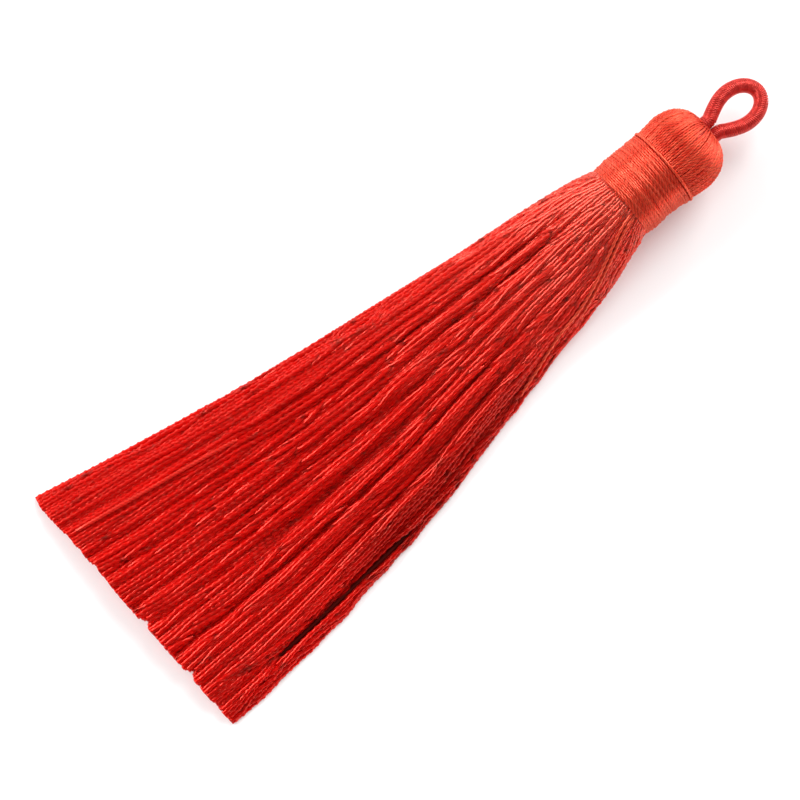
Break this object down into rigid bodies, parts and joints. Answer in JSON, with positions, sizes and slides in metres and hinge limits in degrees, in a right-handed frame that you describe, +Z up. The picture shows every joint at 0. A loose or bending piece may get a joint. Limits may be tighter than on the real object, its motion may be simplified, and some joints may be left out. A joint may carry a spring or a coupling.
{
  "type": "silk tassel",
  "caption": "Red silk tassel lying flat: a long flared skirt of twisted threads, a wound neck, a domed head and a small wound cord loop.",
  "frame": {"origin": "under the middle of the tassel's bounding box, on the surface it lies on", "axes": "+X along the tassel towards the head and loop, +Y across it, +Z up"},
  "size_m": [0.13, 0.0476, 0.0137],
  "materials": {
    "skirt_silk": "red two-ply twisted silk thread, soft gloss",
    "binding_silk": "red silk thread wound in close turns, satin gloss",
    "loop_silk": "red silk thread wound over a cord, satin gloss"
  },
  "bodies": {
    "root": {"thread_hank": "skirt_silk", "neck_binding": "binding_silk", "hanging_loop": "loop_silk"}
  },
  "joints": []
}
